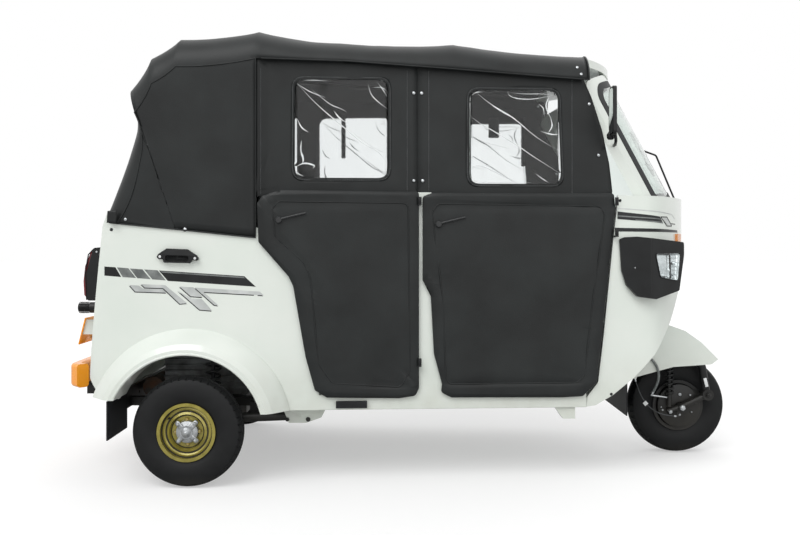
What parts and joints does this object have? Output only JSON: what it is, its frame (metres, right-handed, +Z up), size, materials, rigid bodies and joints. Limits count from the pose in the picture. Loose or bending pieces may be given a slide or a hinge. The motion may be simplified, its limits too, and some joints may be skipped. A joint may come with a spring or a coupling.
{
  "type": "auto rickshaw",
  "caption": "Three-wheeled passenger auto rickshaw with a fabric canopy, roll-up side curtains, hinged lower doors, a steered front wheel and two rear wheels.",
  "frame": {"origin": "on the ground, under the middle of the vehicle's overall length and width", "axes": "+X forward, +Y to the vehicle's left, +Z up"},
  "size_m": [2.7278, 1.3, 1.7477],
  "materials": {
    "body_paint": "gloss",
    "chassis_black": "satin",
    "black_plastic": "satin",
    "glass": "clear",
    "rubber": "matt",
    "vinyl": "satin",
    "clear_sheet": "gloss",
    "seat_vinyl": "satin",
    "engine_metal": "cast",
    "bumper_orange": "gloss",
    "plate_paint": "gloss",
    "red_lens": "gloss",
    "amber_lens": "gloss",
    "tyre": "matt",
    "rim_gold": "satin",
    "hub_alloy": "cast"
  },
  "bodies": {
    "chassis": {"arm_brackets": "body_paint", "b_pillars": "body_paint", "bench_backrest": "seat_vinyl", "bench_cushion": "seat_vinyl", "canopy": "vinyl", "clear_windows": "clear_sheet", "dashboard": "black_plastic", "door_hinges": "chassis_black", "drive_shafts": "chassis_black", "driver_backrest": "seat_vinyl", "driver_seat": "seat_vinyl", "driver_seat_box": "chassis_black", "engine": "engine_metal", "engine_deck": "body_paint", "floor_pan": "body_paint", "front_cowl": "body_paint", "headlamp_lenses": "glass", "headlamp_pods": "black_plastic", "indicators": "amber_lens", "mirrors": "black_plastic", "mud_flaps": "rubber", "number_plate": "plate_paint", "plate_lamp": "black_plastic", "rear_body": "body_paint", "rear_bumper": "bumper_orange", "rear_springs": "chassis_black", "side_curtains": "vinyl", "side_vents": "black_plastic", "silencer": "engine_metal", "steering_head": "chassis_black", "step_pads": "rubber", "tail_lamps": "black_plastic", "tail_lenses": "red_lens", "trailing_arms": "chassis_black", "tube_frame": "chassis_black", "underframe": "chassis_black", "windscreen_frame": "body_paint", "windscreen_glass": "glass", "windscreen_seal": "rubber", "wiper": "black_plastic"},
    "steering": {"brake_hose": "rubber", "speed_cable": "rubber", "steering_fork": "chassis_black", "handlebar": "chassis_black", "front_link": "chassis_black", "front_shock": "chassis_black", "front_fender": "body_paint"},
    "front_wheel": {"front_tyre": "tyre", "front_rim": "rim_gold", "front_hub": "hub_alloy"},
    "rear_wheel_right": {"rear_tyre_right": "tyre", "rear_rim_right": "rim_gold", "rear_hub_right": "hub_alloy"},
    "rear_wheel_left": {"rear_tyre_left": "tyre", "rear_rim_left": "rim_gold", "rear_hub_left": "hub_alloy"},
    "rear_door_right": {"door_rear_right": "vinyl"},
    "front_door_right": {"door_front_right": "vinyl"},
    "rear_door_left": {"door_rear_left": "vinyl"},
    "front_door_left": {"door_front_left": "vinyl"}
  },
  "joints": [
    {"name": "steering", "type": "hinge", "parent": "chassis", "child": "steering", "pos_m": [1.176, 0, 0.3], "axis": [-0.4226, 0, 0.9063], "range_deg": [-38, 38]},
    {"name": "front_wheel_spin", "type": "hinge", "parent": "steering", "child": "front_wheel", "pos_m": [1.156, 0, 0.208], "axis": [0, 1, 0], "continuous": true},
    {"name": "rear_wheel_right_spin", "type": "hinge", "parent": "chassis", "child": "rear_wheel_right", "pos_m": [-0.844, -0.575, 0.208], "axis": [0, 1, 0], "continuous": true},
    {"name": "rear_wheel_left_spin", "type": "hinge", "parent": "chassis", "child": "rear_wheel_left", "pos_m": [-0.844, 0.575, 0.208], "axis": [0, 1, 0], "continuous": true},
    {"name": "rear_door_right", "type": "hinge", "parent": "chassis", "child": "rear_door_right", "pos_m": [0.02352, -0.56398, 0.715], "axis": [0, 0, 1], "range_deg": [0, 70]},
    {"name": "front_door_right", "type": "hinge", "parent": "chassis", "child": "front_door_right", "pos_m": [0.77752, -0.51996, 0.715], "axis": [0, 0, 1], "range_deg": [0, 70]},
    {"name": "rear_door_left", "type": "hinge", "parent": "chassis", "child": "rear_door_left", "pos_m": [0.02352, 0.56398, 0.715], "axis": [0, 0, -1], "range_deg": [0, 70]},
    {"name": "front_door_left", "type": "hinge", "parent": "chassis", "child": "front_door_left", "pos_m": [0.77752, 0.51996, 0.715], "axis": [0, 0, -1], "range_deg": [0, 70]}
  ]
}
